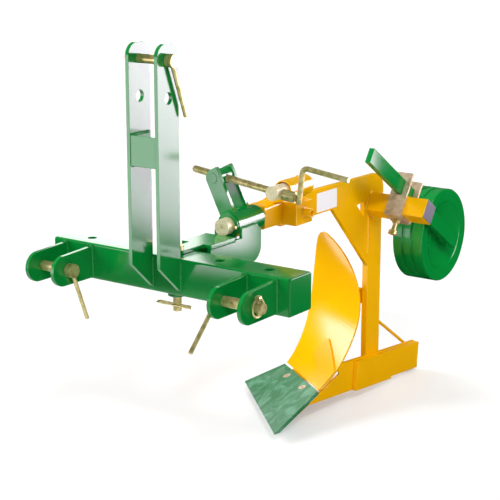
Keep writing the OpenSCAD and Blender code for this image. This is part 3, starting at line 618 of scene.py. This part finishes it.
# %% Welds of the beam
def square_run(x, centre, side, slope):
    """The four sides of a tilted square in the plane of x."""
    corners = []
    for across, up in ((-1, -1), (1, -1), (1, 1), (-1, 1)):
        spot = Vector((0, across * side / 2, up * side / 2))
        spot.rotate(Matrix.Rotation(math.radians(slope), 3, "X"))
        corners.append(spot + Vector((x, *centre)))
    return [straight(corners[i - 1], corners[i]) for i in range(4)]


WEB_X = 22
HEAD_TUBE_TOP = 95
REAR_BAR_SIDE = 50
REAR_BAR_SLOPE = -33.6

BEAM_RUNS = [
    around((101, 448, 148), 22.5, 130, 290, "y"),
    straight((-15, 448, HEAD_TUBE_TOP), (17, 448, HEAD_TUBE_TOP)),
    straight((-15, 460, HEAD_TUBE_TOP), (17, 460, HEAD_TUBE_TOP)),
    straight((WEB_X, 478, 43), (WEB_X, 478, 94)),
    straight((10, 478, 43), (10, 478, 94)),
    straight((WEB_X, 546, 43), (WEB_X, 546, 94)),
    around((64, 512, 68), 10.5, 0, 360, "x"),
    straight((WEB_X, 874, -108), (WEB_X, 874, -15)),
    *square_run(WEB_X, (893, 15), REAR_BAR_SIDE, REAR_BAR_SLOPE),
]
weld("beam_welds", BEAM_RUNS, YELLOW_ENAMEL, "beam")

# %% [markdown]
# ## Blank label
# A white paper label is stuck on the beam in front of the leg. It stays blank here: a thin sheet
# with round corners and the slight sheen of coated paper.

# %% Label
LABEL_Y = (631, 721)
LABEL_Z = (39.5, 86.5)
LABEL_X = 22.0
LABEL_T = 0.4
LABEL_CORNER = 2.0
FIBRE = 9 * MM

label_paper, tree = new_material("coated_paper")
place = add_node(tree, "ShaderNodeTexCoord")
fibre = add_node(tree, "ShaderNodeTexNoise", [(place.outputs["Object"], "Vector")],
                 Scale=1 / FIBRE, Detail=4.0)
tone = add_node(tree, "ShaderNodeMix", [(fibre.outputs["Fac"], 0)], data_type="RGBA")
tone.inputs[6].default_value = linear("#e9e9ea")
tone.inputs[7].default_value = linear("#dedfe2")
sheet = add_node(tree, "ShaderNodeBsdfPrincipled", [(tone.outputs[2], "Base Color")],
                 Roughness=0.45)
add_node(tree, "ShaderNodeOutputMaterial", [(sheet.outputs["BSDF"], "Surface")])

bm = bmesh.new()
bmesh.ops.create_cube(bm, size=1.0)
bmesh.ops.scale(bm, verts=bm.verts, vec=(LABEL_T, LABEL_Y[1] - LABEL_Y[0], LABEL_Z[1] - LABEL_Z[0]))
upright = [edge for edge in bm.edges if abs(edge.verts[0].co.x - edge.verts[1].co.x) > 0.1]
bmesh.ops.bevel(bm, geom=upright, offset=LABEL_CORNER, offset_type="OFFSET", segments=5, profile=0.5,
                affect="EDGES", material=-1)
middle = (LABEL_X + LABEL_T / 2, sum(LABEL_Y) / 2, sum(LABEL_Z) / 2)
bmesh.ops.translate(bm, verts=bm.verts, vec=middle)
bmesh.ops.scale(bm, verts=bm.verts, vec=(MM, MM, MM))
label = new_object("blank_label", bm)
set_material(label, label_paper)
smooth(label)
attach(label, "beam")
print("label faces:", len(label.data.polygons))

# %% [markdown]
# ## Studio
# The photograph is a catalogue picture on a white floor. The floor is grey paper with a glow that
# only the camera and the gloss paint see, so that it looks white and still takes a soft shadow.

# %% Floor
FLOOR_LIFT = 0.34
FLOOR_GREY = 0.60
FLOOR_SIZE = 28.0
FLOOR_GAP = 0.5 * MM
floor_z = cad_bounds[0][2] - FLOOR_GAP


def flat_sheet(width, depth):
    """A level sheet around the origin, as a bmesh."""
    bm = bmesh.new()
    bmesh.ops.create_grid(bm, x_segments=1, y_segments=1, size=0.5)
    bmesh.ops.scale(bm, verts=bm.verts, vec=(width, depth, 1))
    return bm


bm = flat_sheet(FLOOR_SIZE, FLOOR_SIZE)
bmesh.ops.translate(bm, verts=bm.verts, vec=(0, 0.5, floor_z))
floor = new_object("floor", bm)

floor_paper, tree = new_material("floor_paper")
rays = add_node(tree, "ShaderNodeLightPath")
paper = add_node(tree, "ShaderNodeBsdfDiffuse", Color=(FLOOR_GREY, FLOOR_GREY, FLOOR_GREY, 1.0))
seen_by = add_node(tree, "ShaderNodeMath", [(rays.outputs["Is Camera Ray"], 0),
                                            (rays.outputs["Is Glossy Ray"], 1)], operation="MAXIMUM")
lift = add_node(tree, "ShaderNodeMath", [(seen_by.outputs[0], 0)], operation="MULTIPLY")
lift.inputs[1].default_value = FLOOR_LIFT
glow = add_node(tree, "ShaderNodeEmission", [(lift.outputs[0], "Strength")], Color=(1, 1, 1, 1))
seen = add_node(tree, "ShaderNodeAddShader", [(paper.outputs[0], 0), (glow.outputs[0], 1)])
add_node(tree, "ShaderNodeOutputMaterial", [(seen.outputs[0], "Surface")])
set_material(floor, floor_paper)
print("floor at", round(floor_z, 4))

# %% [markdown]
# ## Lamps
# One fairly small lamp and one broad one stand above the photographer, so the shadows fall straight
# back. A broad lamp on the left of the picture lights the mouldboard, one behind the plough softens
# its far side, and a soft box lights the side of the wheel. The camera sees a white room, but the
# room itself gives little light.

# %% World
ROOM_LIGHT = 0.17
world = bpy.data.worlds.new("studio")
world.use_nodes = True
world.node_tree.nodes.clear()
tree = world.node_tree
rays = add_node(tree, "ShaderNodeLightPath")
soft = add_node(tree, "ShaderNodeBackground", Color=(1, 1, 1, 1), Strength=ROOM_LIGHT)
white = add_node(tree, "ShaderNodeBackground", Color=(1, 1, 1, 1), Strength=1.0)
mixed = add_node(tree, "ShaderNodeMixShader", [(rays.outputs["Is Camera Ray"], 0),
                                               (soft.outputs[0], 1), (white.outputs[0], 2)])
add_node(tree, "ShaderNodeOutputWorld", [(mixed.outputs[0], "Surface")])
bpy.context.scene.world = world
print("world:", world.name)


# %% Lamps
def distant_lamp(name, heading, height, width, strength):
    """A far lamp. Heading runs from straight in front to the plough's left, width is its angle.
    The cards below give the gloss its highlights, so the lamp's own glare is left out."""
    data = bpy.data.lights.new(name, "SUN")
    data.angle = math.radians(width)
    data.energy = strength
    lamp = bpy.data.objects.new(name, data)
    lamp.rotation_euler = (math.radians(90 - height), 0, math.radians(heading))
    lamp.visible_glossy = False
    bpy.context.scene.collection.objects.link(lamp)


def softbox(name, place, target, size, watts):
    """A square area lamp that faces the target."""
    data = bpy.data.lights.new(name, "AREA")
    data.shape = "SQUARE"
    data.size = size
    data.energy = watts
    lamp = bpy.data.objects.new(name, data)
    lamp.location = place
    lamp.rotation_euler = (Vector(target) - Vector(place)).to_track_quat("-Z", "Y").to_euler()
    bpy.context.scene.collection.objects.link(lamp)


distant_lamp("key_lamp", heading=45, height=43, width=8, strength=1.1)
distant_lamp("soft_key", heading=38, height=50, width=50, strength=0.72)
distant_lamp("left_light", heading=-72, height=30, width=40, strength=3.5)
distant_lamp("back_light", heading=205, height=40, width=60, strength=0.6)
softbox("side_box", place=(1.05, 1.30, 0.30), target=(0.1, 0.9, -0.1), size=0.8, watts=5.0)
print("lamps:", len(bpy.data.lights))

# %% [markdown]
# ## Cards for the paint to mirror
# Gloss paint shows what it mirrors. The mast and the side plates carry a broad white gleam, and
# other faces stay dark, so bright cards and black flags stand where the paint looks. Only glossy
# rays see them: they cast no shadow and give no light of their own.

# %% Cards and flags
def card(name, heading, distance, reach, low, high, strength, black_to=None, fade=0.06,
         tint="#ffffff", crest=None):
    """An upright card that only glossy rays see. Reach runs along it, to the left and the right.
    It is black below black_to and bright above, or bright all over. Crest is the glow at its top."""
    bm = flat_sheet(reach[1] - reach[0], high - low)
    bmesh.ops.rotate(bm, verts=bm.verts, matrix=Matrix.Rotation(math.radians(90), 3, "X"))
    bmesh.ops.translate(bm, verts=bm.verts, vec=(sum(reach) / 2, distance, (low + high) / 2))
    bmesh.ops.rotate(bm, verts=bm.verts, matrix=Matrix.Rotation(math.radians(-heading), 3, "Z"))
    piece = new_object(name, bm)
    material, tree = new_material(name + "_glow")
    place = add_node(tree, "ShaderNodeTexCoord")
    height = add_node(tree, "ShaderNodeSeparateXYZ", [(place.outputs["Object"], "Vector")])
    rise = add_node(tree, "ShaderNodeMapRange", [(height.outputs["Z"], "Value")],
                    interpolation_type="SMOOTHSTEP")
    start = low - 1.0 if black_to is None else black_to
    rise.inputs["From Min"].default_value = start
    rise.inputs["From Max"].default_value = start + fade
    rise.inputs["To Max"].default_value = strength
    climb = add_node(tree, "ShaderNodeMapRange", [(height.outputs["Z"], "Value")])
    climb.inputs["From Min"].default_value = start + fade
    climb.inputs["From Max"].default_value = high
    climb.inputs["To Min"].default_value = 1.0
    climb.inputs["To Max"].default_value = 1.0 if crest is None else crest / strength
    level = add_node(tree, "ShaderNodeMath",
                     [(rise.outputs["Result"], 0), (climb.outputs["Result"], 1)],
                     operation="MULTIPLY")
    rays = add_node(tree, "ShaderNodeLightPath")
    clear = add_node(tree, "ShaderNodeBsdfTransparent")
    glow = add_node(tree, "ShaderNodeEmission", [(level.outputs["Value"], "Strength")],
                    Color=linear(tint))
    mixed = add_node(tree, "ShaderNodeMixShader", [(rays.outputs["Is Glossy Ray"], 0),
                                                   (clear.outputs[0], 1), (glow.outputs[0], 2)])
    add_node(tree, "ShaderNodeOutputMaterial", [(mixed.outputs[0], "Surface")])
    set_material(piece, material)


# %% Where they stand
# The headings are those in which the camera's view is mirrored by faces of each kind
FLOOR_Z = floor_z + 2 * MM
ROSE = "#ffe9ff"
PINK = "#ffdcff"
SEEN_BY_SIDES = 35.4
SEEN_BY_FRONTS = 215.4
BEHIND = -35.4
SEEN_BY_MOULDBOARD = -75.0
card("right_card", SEEN_BY_SIDES, 1.30, reach=(0.0, 0.30), low=FLOOR_Z, high=0.55, strength=7.6,
     black_to=-0.262, fade=0.16, tint=ROSE, crest=18.5)
card("link_card", SEEN_BY_SIDES, 1.30, reach=(-0.39, 0.0), low=FLOOR_Z, high=0.55, strength=12.0,
     black_to=-0.262, fade=0.05, tint=ROSE, crest=20.0)
card("right_flag", SEEN_BY_SIDES, 1.27, reach=(0.11, 0.60), low=FLOOR_Z, high=-0.21, strength=0.0)
card("beam_flag", SEEN_BY_SIDES, 1.27, reach=(-0.42, -0.17), low=FLOOR_Z, high=0.02, strength=0.0)
card("rear_flag", SEEN_BY_SIDES, 1.40, reach=(-1.10, -0.38), low=FLOOR_Z, high=0.60, strength=0.0)
card("front_card", SEEN_BY_FRONTS, 1.30, reach=(-0.14, 0.32), low=FLOOR_Z, high=0.55, strength=5.5,
     black_to=-0.345, fade=0.10, tint=ROSE)
card("front_flag", SEEN_BY_FRONTS, 1.36, reach=(-1.00, 1.00), low=FLOOR_Z, high=0.30, strength=0.0)
card("back_card", BEHIND, 2.60, reach=(-0.60, 0.03), low=0.20, high=1.4, strength=3.4)
card("mould_card", SEEN_BY_MOULDBOARD, 1.18, reach=(0.40, 0.835), low=FLOOR_Z, high=0.14,
     strength=5.2, black_to=-0.22, fade=0.05, tint=PINK)
card("mould_flag", SEEN_BY_MOULDBOARD, 1.21, reach=(-1.20, 2.00), low=FLOOR_Z, high=0.14,
     strength=0.0)
print("cards and flags:", sum(1 for material in bpy.data.materials if material.name.endswith("_glow")))

# %% Black sheet on the floor
# A black flag that only glossy rays see, laid on the floor under and behind the plough's rear: the paint
# mirrors a dark floor there instead of the white one, a painted shade in its reflections
SHEET_SIZE = (2.00, 1.90)
SHEET_MIDDLE = (0.43, 1.55, FLOOR_Z)

bm = flat_sheet(*SHEET_SIZE)
bmesh.ops.translate(bm, verts=bm.verts, vec=SHEET_MIDDLE)
sheet = new_object("floor_flag", bm)
set_material(sheet, bpy.data.materials["rear_flag_glow"])
print("black sheet:", SHEET_SIZE)

# %% Size of the frame
print("frame box:", cad_bounds)
